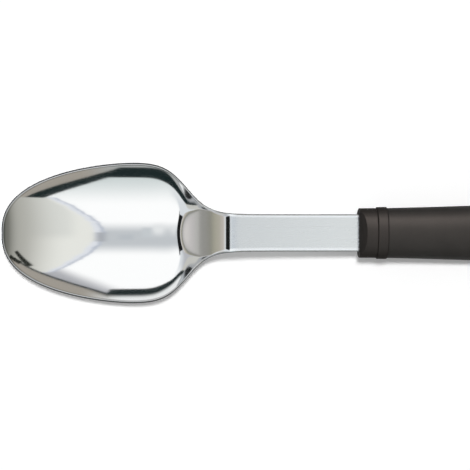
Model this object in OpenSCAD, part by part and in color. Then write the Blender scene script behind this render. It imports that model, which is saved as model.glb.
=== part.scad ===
// Serving spoon: a stamped steel blade whose tang is riveted between the two
// halves of a moulded handle core, with a slotted collar, a raised band, a soft
// sleeve and an end cap with a hanging hole fitted over the core.
// The spoon lies along X with its bowl towards -X. It rests on the bottom of
// the bowl and the underside of the end cap, which both meet Z = 0.

/* [Bowl] */
// Width of the oval that the bowl's outline follows
bowl_w = 68.4; // [60:0.2:76]
// Tip of the bowl to the widest point of that oval
nose_l = 70.6; // [64:0.2:78]
// How blunt the nose is, where 2 is a plain oval
nose_power = 2.5; // [2.1:0.1:2.8]
// Depth of the inside of the bowl below its rim
bowl_depth = 13; // [11:0.5:16]
// How much steeper than a plain dish the walls are near the rim
wall_bias = 0; // [0:0.05:0.4]
// Thickness of the sheet at the bottom of the bowl
bowl_t = 1.5; // [1:0.1:2]
// Width of the flat ground rim
rim_w = 1; // [0.9:0.1:1.6]
// Tip of the bowl to its heel, where the floor is kept deep up to the neck
heel_x = 85.8; // [84:0.1:88]
// Softness of the heel
heel_r = 2; // [1.6:0.1:3]
// How much fuller the dish is behind the heel
heel_share = 0.5; // [0.2:0.05:0.8]
// Tip of the bowl to the middle of the shoulders
shoulder_x = 89.8; // [86:0.2:93]
// Softness of the shoulders' curve into the shank
shoulder_r = 5.5; // [4.5:0.1:6.5]

/* [Neck and shank] */
// Slope of the neck as it climbs out of the bowl, in degrees
neck_angle = 41.5; // [38:0.5:44]
// Softness of the bend from the rim into the neck's edges
neck_r = 2; // [1.5:0.1:3]
// How crisply the flat neck meets the bowl's floor
crease_power = 20; // [12:1:30]
// Tip of the bowl to the bend where the shank starts
shank_x = 109.8; // [108:0.2:114]
// Softness of that bend
bend_r = 0.9; // [0.8:0.1:1.6]
// Tip of the bowl to where the sheet reaches half the shank's thickness
thick_x = 100; // [96:0.5:104]
// Softness of that change in thickness
thick_r = 3; // [2:0.1:4]
// Width of the flat shank
shank_w = 18; // [14:0.2:20]
// Thickness of the shank
shank_t = 2.5; // [2.1:0.1:3]
// Bevel that breaks the long edges of the shank
edge_break = 0.4; // [0.2:0.1:0.6]
// Slope of the shank and handle down towards the butt, in degrees
droop = 5.5; // [4:0.5:7]

/* [Tang and rivets] */
// Length of solid core beyond the end of the tang
tang_end = 16.4; // [12:0.2:24]
// Width of the tang
tang_w = 11; // [8:0.5:12]
// Thickness of the tang, which is coined thinner than the shank
tang_t = 2; // [1.4:0.1:2]
// Diameter of the rivets
rivet_d = 4; // [3:0.1:4.6]
// Diameter of the rivets' heads
rivet_head_d = 7; // [6:0.1:7.6]
// Height of each head
rivet_head_h = 1.2; // [0.8:0.1:1.6]
// Depth of the rivets' heads below the round of the core
rivet_sink = 1.5; // [1.2:0.1:2.2]
// Last rivet to the end of the tang
rivet_inset = 12; // [8:0.5:16]
// Distance between rivets
rivet_pitch = 24; // [20:0.5:25]
// Number of rivets
rivet_count = 3; // [2:1:3]

/* [Handle] */
// Tip of the bowl to the front face of the handle
handle_x = 171.6; // [160:0.2:185]
// Length of the handle
handle_l = 122; // [118:1:132]
// Width of the handle at its front
front_w = 23.8; // [22:0.2:26]
// Height of the handle at its front
front_h = 20; // [19:0.2:22]
// Greatest width of the handle
belly_w = 27.6; // [26:0.2:31]
// Greatest height of the handle
belly_h = 22.6; // [21:0.2:25]
// Front face of the handle to the widest place of its grip
belly_x = 90; // [80:1:95]
// Height of the handle where its end starts to round off
tail_h = 19; // [18.4:0.2:21]
// Length of the rounded end
tail_l = 20; // [17:0.5:21]

/* [Collar and band] */
// Length of the front collar
collar_l = 8.4; // [7.4:0.1:10]
// Thickness of the collar's front wall
collar_wall = 3.5; // [3:0.1:3.9]
// Depth of the seat that takes the end of the shank
shank_seat = 2; // [1.5:0.1:2.4]
// Length of the bevel on the top of the collar
bevel_l = 3; // [1.5:0.1:3.4]
// Height of that bevel
bevel_h = 5.4; // [4:0.1:7]
// Width of the raised band
band_l = 4.8; // [3.6:0.1:6]
// How far the band stands out of the handle
band_proud = 0.5; // [0.2:0.1:0.8]
// Bevel at each seam between the pieces of the handle
seam = 0.45; // [0.2:0.05:0.6]

/* [Core and end cap] */
// Diameter of the core
core_d = 15; // [14:0.2:16]
// Length of the end cap
cap_l = 24; // [22:0.5:27]
// Depth of the end cap's socket
socket_l = 6.4; // [5.6:0.1:7]
// Height of the snap ridges in the collar and the end cap
snap_h = 0.4; // [0.2:0.05:0.5]
// Length of a snap ridge
snap_l = 1.6; // [1.2:0.1:2]
// Diameter of the hanging hole
hang_hole_d = 8; // [6:0.2:9]
// Centre of the hanging hole to the end of the handle
hang_hole_inset = 11; // [10.5:0.1:11.5]
// Diameter of the flat recess round the hanging hole
recess_d = 12.6; // [11:0.2:13.4]
// Thickness of the end cap between its two recesses
recess_t = 14; // [12:0.2:15]

/* [Fits] */
// Clearance between the tang and what it passes through
tang_fit = 0.1; // [0.05:0.01:0.2]
// Clearance of the rivets in their holes
rivet_fit = 0.05; // [0.02:0.01:0.1]
// Clearance of the collar, band, sleeve and cap on the core
core_fit = 0.05; // [0.02:0.01:0.1]
// Gap between neighbouring pieces of the handle
joint_gap = 0.05; // [0.02:0.01:0.1]

/* [Hidden] */

// How far a cutting shape runs past what it cuts
over = collar_wall;
// Counts of the faces that draw the smooth shapes
nose_steps = 26;
rear_steps = 52;
cross_steps = 24;
ring_sides = 56;
loft_steps = 20;
round_steps = 10;
bore_fn = 48;
// Power of the handle's oval section, and of its rounded end
section_power = 2.3;
tail_power = 2.6;
steel = "silver";
dark_soft = [0.22, 0.2, 0.2];
dark_hard = [0.18, 0.17, 0.17];
natural = [0.75, 0.73, 0.68];

// Ends of the pieces along the handle
cap_x = handle_l - cap_l;
band_x = collar_l + joint_gap;
sleeve_x = band_x + band_l + joint_gap;
core_end = cap_x + joint_gap + socket_l - core_fit;
tang_l = core_end - tang_end;
rivet_l = core_d - 2 * rivet_sink;
first_rivet_x = tang_l - rivet_inset - rivet_pitch * (rivet_count - 1);
hang_x = handle_l - hang_hole_inset;
shank_end = handle_x + shank_seat * cos(droop);

// Smooth curves

// A corner drawn as a smooth curve: 0 before it and x after it
function corner(x, r) = x > 30 * r ? x : r * ln(1 + exp(x / r));
// A smooth step from 1 down to 0 at x = 0
function fall(x, r) = 1 / (1 + exp(min(x / r, 60)));
// Depth of the dish at a share of the way from rim to bottom
function dish(u) = u + wall_bias * u * (1 - u);
function swell(u) = (1 - cos(180 * min(1, max(0, u)))) / 2;

// Handle profile, from its front face at 0 to its butt at handle_l

function tail(x) =
    let (u = (x - (handle_l - tail_l)) / tail_l)
    u <= 0 ? 1 : pow(max(0, 1 - pow(u, tail_power)), 1 / tail_power);
function grip_half_w(x) =
    (front_w + (belly_w - front_w) * swell(x / belly_x)) / 2;
function grip_half_h(x) =
    let (mid_x = belly_x / 2)
    x < mid_x ? (front_h + (belly_h - front_h) * swell(x / mid_x)) / 2
              : (belly_h + (tail_h - belly_h) * swell((x - mid_x) / (handle_l - tail_l - mid_x))) / 2;
function handle_half_w(x) = grip_half_w(x) * tail(x);
function handle_half_h(x) = grip_half_h(x) * tail(x);

// Rings of the handle's outside between two places, as [x, half width, half height]
function grip_ring(x, proud) = [x, handle_half_w(x) + proud, handle_half_h(x) + proud];
function piece_rings(x0, x1, proud, steps) = concat(
    [grip_ring(x0, proud - seam)],
    [for (i = [0 : steps]) grip_ring(x0 + seam + (x1 - x0 - 2 * seam) * i / steps, proud)],
    [grip_ring(x1, proud - seam)]);
cap_front = cap_x + joint_gap;
cap_rings = concat(
    [grip_ring(cap_front, -seam), grip_ring(cap_front + seam, 0)],
    [for (i = [0 : round_steps])
        grip_ring(handle_l - tail_l + tail_l * sin(90 * i / (round_steps + 1)), 0)],
    [[handle_l, handle_half_w(handle_l - seam) / 2, handle_half_h(handle_l - seam) / 2]]);
grip_rings = piece_rings(sleeve_x, cap_x, 0, loft_steps);

// Height of the handle's axis at its front face, with the end cap on Z = 0
axis_z = max([for (ring = concat(grip_rings, cap_rings)) ring[0] * sin(droop) + ring[2] * cos(droop)]);
// Length from the tip of the bowl to the end of the handle
overall_l = max([for (ring = cap_rings) handle_x + ring[0] * cos(droop) + ring[2] * sin(droop)]);

// Blade profile, along the spoon from its tip at 0

function oval_half_w(s, inset) =
    (bowl_w / 2 - inset) * pow(max(0, 1 - pow((nose_l - s) / (nose_l - inset), 2)), 1 / nose_power);
function blade_half_w(s, inset, shank_inset) =
    let (c = shank_w / 2 - shank_inset)
    c + (oval_half_w(s, inset) - c) * fall(s - shoulder_x, shoulder_r);

neck_slope = tan(neck_angle);
shank_slope = tan(droop);
// Share of the thin bowl sheet, as against the thick shank
function thin_share(s) = fall(s - thick_x, thick_r);
// Depth of the dish below its edge, u being 0 at the edge and 1 at the bottom
function dish_depth(s, u, depth) =
    depth * (1 + heel_share * fall(heel_x - s, heel_r)) * dish(u);
// Lesser of two depths, rounded where they cross
function lesser(a, b) =
    let (low = min(a, b), high = max(a, b))
    low <= 0 ? 0 : low * pow(1 + pow(low / high, crease_power), -1 / crease_power);

// Stations along the blade: a share of the nose's oval, then places behind it
bend_end = shank_x + 6 * bend_r;
nose_stations = [for (i = [1 : nose_steps]) cos(90 * i / nose_steps)];
rear_stations = concat(
    [for (i = [1 : rear_steps]) nose_l + (bend_end - nose_l) * i / rear_steps],
    [(bend_end + shank_end) / 2, shank_end]);

// Height of the rim that lets the bottom of the bowl touch Z = 0
function middle_depth(s) = dish_depth(s, pow(blade_half_w(s, 0, 0) / (bowl_w / 2), 2), bowl_depth + bowl_t);
rim_z = max(concat([for (c = nose_stations) middle_depth(nose_l - nose_l * c)],
                   [for (s = rear_stations) if (s < shoulder_x - shoulder_r) middle_depth(s)]));
// Top of the shank, carried back along its slope to the bend
shank_top = axis_z + shank_t / 2 + (handle_x - shank_x) * shank_slope;
neck_x = shank_x - (shank_top - rim_z) / neck_slope;
function edge_z(s) =
    rim_z + neck_slope * corner(s - neck_x, neck_r)
    - (neck_slope + shank_slope) * corner(s - shank_x, bend_r);
function edge_slope(s) =
    neck_slope * fall(neck_x - s, neck_r) - (neck_slope + shank_slope) * fall(shank_x - s, bend_r);
// Depth of the flat neck below the edge, carried on down under the bowl
function neck_depth(s) = neck_slope * (corner(s - neck_x, neck_r) - (s - neck_x));

// Cross places run closer together towards the edges
cross = [for (j = [0 : cross_steps]) sin(90 * (2 * j / cross_steps - 1))];

// One point of the inner face or the outer face of the sheet
function face_point(s, v, outer) =
    let (inset = outer ? 0 : rim_w,
         half = blade_half_w(s, inset, outer ? 0 : edge_break),
         u = pow(half / (bowl_w / 2 - inset), 2) * (1 - v * v),
         bowl_sheet = outer ? bowl_t * thin_share(s) : 0,
         shank_sheet = outer ? shank_t * (1 - thin_share(s)) * norm([1, edge_slope(s)]) : 0,
         depth = lesser(dish_depth(s, u, outer ? bowl_depth + bowl_t : bowl_depth),
                        neck_depth(s) + bowl_sheet / cos(neck_angle)))
    [s, v * half, edge_z(s) - depth - shank_sheet];
function face_grid(outer) = concat(
    [for (c = nose_stations)
        let (inset = outer ? 0 : rim_w, s = nose_l - (nose_l - inset) * c)
        for (v = cross) face_point(s, v, outer)],
    [for (s = rear_stations) for (v = cross) face_point(s, v, outer)]);

// The bowl, neck and shank as one closed sheet between two grids of points
module blade_sheet() {
    rows = nose_steps + len(rear_stations);
    m = cross_steps + 1;
    inner = face_grid(false);
    outer = face_grid(true);
    base = len(inner);
    tips = [[rim_w, 0, edge_z(rim_w)], [0, 0, edge_z(0)]];
    inner_tip = 2 * base;
    outer_tip = inner_tip + 1;
    faces = concat(
        [for (i = [0 : rows - 2], j = [0 : m - 2]) each
            [[i * m + j, (i + 1) * m + j + 1, (i + 1) * m + j],
             [i * m + j, i * m + j + 1, (i + 1) * m + j + 1]]],
        [for (i = [0 : rows - 2], j = [0 : m - 2]) each
            [[base + i * m + j, base + (i + 1) * m + j, base + (i + 1) * m + j + 1],
             [base + i * m + j, base + (i + 1) * m + j + 1, base + i * m + j + 1]]],
        [for (j = [0 : m - 2]) [inner_tip, j + 1, j]],
        [for (j = [0 : m - 2]) [outer_tip, base + j, base + j + 1]],
        [for (i = [0 : rows - 2]) each
            [[i * m, base + (i + 1) * m, base + i * m], [i * m, (i + 1) * m, base + (i + 1) * m]]],
        [for (i = [0 : rows - 2]) each
            [[i * m + m - 1, base + i * m + m - 1, base + (i + 1) * m + m - 1],
             [i * m + m - 1, base + (i + 1) * m + m - 1, (i + 1) * m + m - 1]]],
        [[inner_tip, base, outer_tip], [inner_tip, 0, base]],
        [[inner_tip, outer_tip, base + m - 1], [inner_tip, base + m - 1, m - 1]],
        [for (j = [0 : m - 2]) each
            let (k = (rows - 1) * m + j)
            [[k, base + k + 1, base + k], [k, k + 1, base + k + 1]]]);
    polyhedron(points = concat(inner, outer, tips), faces = faces, convexity = 6);
}

// Puts a shape drawn along the handle's own axis where the handle lies
module along_handle() {
    translate([handle_x - overall_l / 2, 0, axis_z]) rotate([0, droop, 0]) children();
}
// A round bar along the handle's axis
module bar(x, l, r) {
    translate([x, 0, 0]) rotate([0, 90, 0]) cylinder(r = r, h = l, $fn = bore_fn);
}
// A bar of rectangular section along the handle's axis
module flat_bar(x, l, w, t) {
    translate([x, -w / 2, -t / 2]) cube([l, w, t]);
}
// A flat bar with a round end, as the tang has
module tang_shape(x, l, w, t) {
    flat_bar(x, l - w / 2, w, t);
    translate([x + l - w / 2, 0, -t / 2]) cylinder(d = w, h = t, $fn = bore_fn);
}
// A cylinder across the tang at each rivet
module at_rivets(d, z, h) {
    for (i = [0 : rivet_count - 1])
        translate([first_rivet_x + rivet_pitch * i, 0, z]) cylinder(d = d, h = h, $fn = bore_fn);
}

// A solid lofted between ovals, where each ring is [x, half width, half height]
module loft(rings) {
    n = ring_sides;
    last = len(rings) - 1;
    points = [for (ring = rings, k = [0 : n - 1])
        let (c = cos(360 * k / n), s = sin(360 * k / n), e = 2 / section_power)
        [ring[0], ring[1] * sign(c) * pow(abs(c), e), ring[2] * sign(s) * pow(abs(s), e)]];
    sides = [for (i = [0 : last - 1], k = [0 : n - 1]) each
        let (a = i * n + k, b = i * n + (k + 1) % n)
        [[a, a + n, b], [b, a + n, b + n]]];
    polyhedron(points = points, convexity = 4, faces = concat(sides,
        [[for (k = [0 : n - 1]) k]], [[for (k = [n - 1 : -1 : 0]) last * n + k]]));
}
// A ring that stands out of a bore's wall, or the groove that takes it
module snap_ring(x, clear) {
    r = core_d / 2;
    rotate([0, 90, 0]) translate([0, 0, x]) rotate_extrude($fn = bore_fn)
        polygon([[r - snap_h - clear, -clear], [r + over, -clear - snap_h - over],
                 [r + over, snap_l + clear + snap_h + over], [r - snap_h - clear, snap_l + clear]]);
}
collar_snap_x = (collar_wall + collar_l - snap_l) / 2;
cap_snap_x = cap_x + (socket_l - snap_l) / 2;

// Stamped steel bowl, neck, shank and tang
module spoon_blade() {
    color(steel) difference() {
        union() {
            translate([-overall_l / 2, 0, 0]) blade_sheet();
            along_handle() tang_shape(0, tang_l, tang_w, tang_t);
        }
        along_handle() at_rivets(rivet_d + 2 * rivet_fit, -over, 2 * over);
    }
}

// Moulded collar with a stepped slot for the shank and a bevelled top
module front_collar() {
    r = core_d / 2 + core_fit;
    color(dark_hard) along_handle() difference() {
        loft(piece_rings(0, collar_l, 0, 2));
        difference() {
            bar(collar_wall, collar_l, r);
            snap_ring(collar_snap_x, 0);
        }
        flat_bar(-over, over + shank_seat + tang_fit, shank_w + 2 * tang_fit, shank_t + 2 * tang_fit);
        flat_bar(-over, over + collar_l, tang_w + 2 * tang_fit, tang_t + 2 * tang_fit);
        // The bevel leans back from the front face to the top of the collar
        translate([0, 0, front_h / 2 - bevel_h]) rotate([0, atan(bevel_l / bevel_h), 0])
            translate([-front_h, -front_w, -front_h]) cube([front_h, 2 * front_w, 3 * front_h]);
    }
}

// Raised band between the collar and the sleeve
module collar_band() {
    color(dark_hard) along_handle() difference() {
        loft(piece_rings(band_x, band_x + band_l, band_proud, 2));
        bar(band_x - over, band_l + 2 * over, core_d / 2 + core_fit);
    }
}

// One half of the core, above the tang for side 1 and below it for side -1
module core_half(side) {
    start = collar_wall + joint_gap;
    head_z = rivet_l / 2 - rivet_head_h - rivet_fit;
    difference() {
        intersection() {
            bar(start, core_end - start, core_d / 2);
            translate([start, -core_d / 2, side > 0 ? joint_gap / 2 : -core_d / 2 - joint_gap / 2])
                cube([core_end - start, core_d, core_d / 2]);
        }
        tang_shape(start - over, tang_l + tang_fit - start + over,
                   tang_w + 2 * tang_fit, tang_t + 2 * tang_fit);
        at_rivets(rivet_d + 2 * rivet_fit, -core_d, 2 * core_d);
        at_rivets(rivet_head_d + 2 * rivet_fit, side > 0 ? head_z : -head_z - core_d, core_d);
        snap_ring(collar_snap_x, core_fit);
        snap_ring(cap_snap_x, core_fit);
    }
}
module core_upper() {
    color(natural) along_handle() core_half(1);
}
module core_lower() {
    color(natural) along_handle() core_half(-1);
}

// Rivets through the core halves and the tang, with a head at each end
module tang_rivets() {
    color(steel) along_handle() {
        at_rivets(rivet_d, -rivet_l / 2, rivet_l);
        at_rivets(rivet_head_d, -rivet_l / 2, rivet_head_h);
        at_rivets(rivet_head_d, rivet_l / 2 - rivet_head_h, rivet_head_h);
    }
}

// Soft sleeve that the hand holds
module grip_sleeve() {
    color(dark_soft) along_handle() difference() {
        loft(grip_rings);
        bar(sleeve_x - over, cap_x - sleeve_x + 2 * over, core_d / 2 + core_fit);
    }
}

// Moulded end cap with its socket, rounded end and hanging hole
module end_cap() {
    color(dark_hard) along_handle() difference() {
        loft(cap_rings);
        difference() {
            bar(cap_front - over, over + socket_l, core_d / 2 + core_fit);
            snap_ring(cap_snap_x, 0);
        }
        translate([hang_x, 0, -belly_h]) cylinder(d = hang_hole_d, h = 2 * belly_h, $fn = bore_fn);
        translate([hang_x, 0, recess_t / 2]) cylinder(d = recess_d, h = belly_h, $fn = bore_fn);
        translate([hang_x, 0, -recess_t / 2 - belly_h]) cylinder(d = recess_d, h = belly_h, $fn = bore_fn);
    }
}

spoon_blade();
front_collar();
collar_band();
core_upper();
core_lower();
tang_rivets();
grip_sleeve();
end_cap();
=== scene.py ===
"""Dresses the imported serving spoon: a polished steel blade, a soft-touch handle
in four moulded pieces, and a white studio to show them in."""

import math

import bmesh
import bpy
import numpy as np
from bpy.props import FloatProperty, FloatVectorProperty, IntProperty, PointerProperty
from mathutils import Matrix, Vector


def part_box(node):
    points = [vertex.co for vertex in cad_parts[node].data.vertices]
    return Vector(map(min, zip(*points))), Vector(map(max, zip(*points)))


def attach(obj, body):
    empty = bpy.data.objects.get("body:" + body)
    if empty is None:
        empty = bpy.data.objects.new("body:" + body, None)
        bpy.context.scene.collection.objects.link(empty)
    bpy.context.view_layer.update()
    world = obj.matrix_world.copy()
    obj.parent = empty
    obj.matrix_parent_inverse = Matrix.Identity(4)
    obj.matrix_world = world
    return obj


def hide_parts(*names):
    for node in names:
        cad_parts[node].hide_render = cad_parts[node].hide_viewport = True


bl_info = {
    "name": "Serving spoon",
    "version": (1, 0, 0),
    "blender": (4, 5, 0),
    "location": "View3D > Sidebar > Spoon",
    "description": "Builds the blade, the handle and the studio of a serving spoon",
    "category": "Add Mesh",
}

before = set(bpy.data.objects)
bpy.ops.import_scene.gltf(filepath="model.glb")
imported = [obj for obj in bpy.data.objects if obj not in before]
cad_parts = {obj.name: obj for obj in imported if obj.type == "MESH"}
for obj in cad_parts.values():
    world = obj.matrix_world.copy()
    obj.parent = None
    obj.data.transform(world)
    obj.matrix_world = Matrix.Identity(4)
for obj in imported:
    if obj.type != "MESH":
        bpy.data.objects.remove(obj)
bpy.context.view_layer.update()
TIP_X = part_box("spoon_blade")[0].x
MM = 0.001
# The picture's frame: pixels across it, where its middle lies from the bowl's tip,
# and the height at which a pixel has its stated size
FRAME_PX, AIM_X_PX, AIM_Y_PX, SCALE_Z = 470, 234, -2, 16.7 * MM
SENSOR_MM = 36
# Powers of the handle's oval section and of its rounded butt, where 2 is a plain oval
SECTION_POWER, BUTT_POWER = 2.3, 2.6
# The kinds of node that come up most
MATH, SPAN, MIX, SPLIT = "ShaderNodeMath", "ShaderNodeMapRange", "ShaderNodeMix", "ShaderNodeSeparateXYZ"
NOISE, COORD, VECTOR = "ShaderNodeTexNoise", "ShaderNodeTexCoord", "ShaderNodeVectorMath"


def linear(code):
    """Turns an sRGB hex value into the linear colour that Blender's sockets take."""
    parts = [int(code[i : i + 2], 16) / 255 for i in (1, 3, 5)]
    return [p / 12.92 if p <= 0.04045 else ((p + 0.055) / 1.055) ** 2.4 for p in parts] + [1]


def length(name, description, mm):
    return FloatProperty(
        name=name, description=description, default=mm * MM, min=0, precision=5, unit="LENGTH"
    )


def share(name, description, value, top=1.0):
    return FloatProperty(name=name, description=description, default=value, min=0, max=top)


def angle(name, description, degrees):
    return FloatProperty(
        name=name, description=description, default=math.radians(degrees), subtype="ANGLE"
    )


def hue(name, description, code):
    return FloatVectorProperty(
        name=name, description=description, default=linear(code), size=4,
        min=0, max=1, subtype="COLOR",
    )


class SPOON_PG_blade(bpy.types.PropertyGroup):
    """Sizes and finish of the stamped blade"""

    bowl_w: length("Bowl width", "Width of the oval that the bowl follows", 68.4)
    nose_l: length("Nose", "Tip of the bowl to the oval's widest point", 70.6)
    nose_power: share("Nose bluntness", "Power of the oval, where 2 is a plain one", 2.5, 4)
    depth: length("Bowl depth", "Depth of the inside below the rim", 13)
    sheet_t: length("Sheet", "Thickness at the bottom of the bowl", 1.5)
    rim_w: length("Rim", "Width of the flat ground rim", 1)
    heel_x: length("Heel", "Tip to the heel, where the floor is kept deep", 85.8)
    heel_r: length("Heel softness", "Softness of the heel", 2)
    heel_share: share("Heel fullness", "How much fuller the dish is behind the heel", 0.5)
    shoulder_x: length("Shoulders", "Tip to the middle of the shoulders", 89.8)
    shoulder_r: length("Shoulder softness", "Softness of the shoulders' curve", 5.5)
    neck_angle: angle("Neck", "Slope of the neck out of the bowl", 41.5)
    neck_r: length("Neck foot", "Softness of the bend into the neck's edges", 2)
    crease_power: share("Crease", "How crisply the neck meets the bowl's floor", 20, 40)
    shank_x: length("Shank bend", "Tip to the bend where the shank starts", 109.8)
    bend_r: length("Bend softness", "Softness of that bend", 0.9)
    thick_x: length("Thick sheet", "Tip to where the sheet is half as thick as the shank", 100)
    thick_r: length("Thickness change", "Softness of that change in thickness", 3)
    shank_w: length("Shank width", "Width of the flat shank", 18)
    shank_t: length("Shank thickness", "Thickness of the shank", 2.5)
    edge_break: length("Edge break", "Bevel on the long edges of the shank", 0.4)
    tang_l: length("Tang", "Length of the tang from the handle's front face", 88)
    tang_w: length("Tang width", "Width of the tang", 11)
    tang_t: length("Tang thickness", "Thickness of the tang", 2)
    rivet_d: length("Rivet", "Diameter of the rivets", 4)
    rivet_pitch: length("Rivet pitch", "Distance between rivets", 24)
    rivet_inset: length("Rivet inset", "Last rivet to the end of the tang", 12)
    rivet_count: IntProperty(name="Rivets", description="Number of rivets", default=3, min=1)
    steel: hue("Steel", "Colour of the polished steel", "#F2F3F3")
    polish: share("Polish", "Roughness of the mirror-polished bowl", 0.05)
    satin: share("Satin", "Roughness of the brushed shank", 0.24)


class SPOON_PG_handle(bpy.types.PropertyGroup):
    """Sizes and colours of the handle"""

    front_x: length("Front face", "Tip of the bowl to the handle", 171.6)
    length: length("Length", "Length of the handle", 122)
    droop: angle("Droop", "Slope of the handle towards its butt", 5.5)
    front_w: length("Front width", "Width at the front", 23.8)
    front_h: length("Front height", "Height at the front", 20)
    belly_w: length("Belly width", "Greatest width", 27.6)
    belly_h: length("Belly height", "Greatest height", 22.6)
    belly_x: length("Belly place", "Front face to the widest place", 90)
    tail_h: length("Tail height", "Height where the end starts to round", 19)
    tail_l: length("Tail", "Length of the rounded end", 20)
    collar_l: length("Collar", "Length of the front collar", 8.4)
    band_l: length("Band", "Width of the raised band", 4.8)
    band_proud: length("Band height", "How far the band stands out", 0.5)
    cap_l: length("End cap", "Length of the end cap", 24)
    collar_wall: length("Collar wall", "Thickness of the collar's front wall", 3.5)
    shank_seat: length("Shank seat", "Depth of the seat for the shank's end", 2)
    bevel_l: length("Bevel length", "Length of the bevel on the collar", 3)
    bevel_h: length("Bevel height", "Height of that bevel", 5.4)
    core_d: length("Core", "Diameter of the core", 15)
    socket_l: length("Socket", "Depth of the end cap's socket", 6.4)
    hole_d: length("Hanging hole", "Diameter of the hanging hole", 8)
    hole_inset: length("Hole inset", "Centre of the hole to the butt", 11)
    recess_d: length("Recess", "Diameter of the recess round the hole", 12.6)
    recess_t: length("Recess floor", "Thickness between the two recesses", 14)
    gap: length("Joint gap", "Gap between pieces and round the core", 0.05)
    fit: length("Tang fit", "Clearance of the shank and tang", 0.1)
    soft: hue("Soft grip", "Colour of the soft-touch sleeve", "#2F2D2B")
    hard: hue("Hard plastic", "Colour of the collar, band and cap", "#2E2B29")
    sides: IntProperty(name="Sides", description="Faces round the handle", default=128, min=24)


class SPOON_PG_studio(bpy.types.PropertyGroup):
    """Camera and light"""

    pixel: length("Pixel", "Size of one pixel of the 470 pixel frame", 0.48)
    lens: FloatProperty(name="Lens", description="Focal length in millimetres", default=300)
    key: FloatProperty(name="Key", description="Strength of the key lamp", default=2.15)
    gloss: FloatProperty(
        name="Gloss", description="Strength of the lamp that the handle's gloss shows", default=4.2
    )
    sky: share("Sky", "Strength of the even light on matte surfaces", 0.25, 2)
    glow: share("Table's glow", "Light that the table adds for the rays that see it", 0.17)


def add(tree, kind, inputs=(), **settings):
    """Adds one node with its settings, and gives its inputs values or links."""
    made = tree.nodes.new(kind)
    for name, value in settings.items():
        setattr(made, name, value)
    for key, value in dict(inputs).items():
        if isinstance(value, bpy.types.Node):
            value = value.outputs[0]
        if isinstance(value, bpy.types.NodeSocket):
            tree.links.new(value, made.inputs[key])
        else:
            made.inputs[key].default_value = value
    return made


def painted(tree, colour, layers):
    """Colour under soft-edged layers, each a list of (value, low, high) masks and a hex."""
    for masks, paint in layers:
        seen = 1
        for value, low, high in masks:
            reach = {"Value": value, "From Min": low, "From Max": high, "To Max": seen}
            seen = add(tree, SPAN, reach, interpolation_type="SMOOTHSTEP").outputs[0]
        layer = {"Factor": seen, 6: colour, 7: linear(paint)}
        colour = add(tree, MIX, layer, data_type="RGBA").outputs[2]
    return colour


def blank(name):
    """A material with an empty tree, and that tree."""
    material = bpy.data.materials.new(name)
    material.use_nodes = True
    material.node_tree.nodes.clear()
    return material, material.node_tree


def shaded(material, looks):
    """Ends a material's tree in a Principled shader with these inputs."""
    tree = material.node_tree
    shader = add(tree, "ShaderNodeBsdfPrincipled", looks)
    add(tree, "ShaderNodeOutputMaterial", {"Surface": shader})
    return material


# Shapes


def outward(mesh):
    """Turns all faces of a closed mesh outwards."""
    work = bmesh.new()
    work.from_mesh(mesh)
    bmesh.ops.recalc_face_normals(work, faces=work.faces)
    work.to_mesh(mesh)
    work.free()


def skin(name, rings):
    """A closed solid over rings of points, each ring with as many points."""
    rings = np.asarray(rings, float)
    rows, m, _ = rings.shape
    a = np.arange(rows - 1)[:, None] * m + np.arange(m)[None, :]
    b = np.arange(rows - 1)[:, None] * m + (np.arange(m) + 1)[None, :] % m
    quads = np.stack([a, b, b + m, a + m], -1).reshape(-1, 4).tolist()
    caps = [list(range(m))[::-1], list(range((rows - 1) * m, rows * m))]
    mesh = bpy.data.meshes.new(name)
    mesh.from_pydata(rings.reshape(-1, 3).tolist(), [], quads + caps)
    outward(mesh)
    thing = bpy.data.objects.new(name, mesh)
    bpy.context.scene.collection.objects.link(thing)
    return thing


def round_bar(name, profile, axis="X", place=(0, 0, 0), sides=96):
    """A turned solid: profile is [(distance along the axis, radius), ...]."""
    turn = np.linspace(0, 2 * np.pi, sides, endpoint=False)
    rings = []
    for along, r in profile:
        c, s, flat = r * np.cos(turn), r * np.sin(turn), np.full(sides, along)
        rings.append(np.stack([flat, c, s] if axis == "X" else [c, s, flat], -1))
    return skin(name, np.array(rings) + np.array(place))


def block(name, low, high):
    """A plain block between two corners."""
    (x0, y0, z0), (x1, y1, z1) = low, high
    ring = [(y0, z0), (y1, z0), (y1, z1), (y0, z1)]
    return skin(name, [[(x, y, z) for y, z in ring] for x in (x0, x1)])


def bake(thing):
    """Turns an object's modifiers into plain mesh and removes them."""
    graph = bpy.context.evaluated_depsgraph_get()
    graph.update()
    mesh = bpy.data.meshes.new_from_object(thing.evaluated_get(graph))
    thing.modifiers.clear()
    thing.data = mesh
    return thing


def carve(thing, cutters, operation="DIFFERENCE"):
    """Cuts solids from a piece, or joins them to it, and removes the cutters."""
    for cutter in cutters:
        step = thing.modifiers.new(cutter.name, "BOOLEAN")
        step.operation, step.solver, step.object = operation, "EXACT", cutter
    bake(thing)
    for cutter in cutters:
        bpy.data.objects.remove(cutter)
    return thing


def finish(piece, node, material, sharp=32):
    """Gives a piece its material and smooth faces, and lets it stand for a CAD node."""
    piece.data.materials.clear()
    piece.data.materials.append(material)
    piece.data.shade_smooth()
    piece.data.set_sharp_from_angle(angle=math.radians(sharp))
    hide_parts(node)
    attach(piece, "root")


def glossed():
    """The pieces that the gloss lamp lights: the handle's, so the steel doesn't show it."""
    return bpy.data.collections.get("glossed") or bpy.data.collections.new("glossed")


# The blade's shape, as in the CAD source


def fall(x, r):
    """Falls from 1 to 0 round x = 0, over a few times r."""
    return 1 / (1 + np.exp(np.clip(x / r, -60, 60)))


def corner(x, r):
    """0 before x = 0 and x after it, with the corner softened by r."""
    return np.where(x > 30 * r, x, r * np.log1p(np.exp(np.clip(x / r, -60, 30))))


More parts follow.
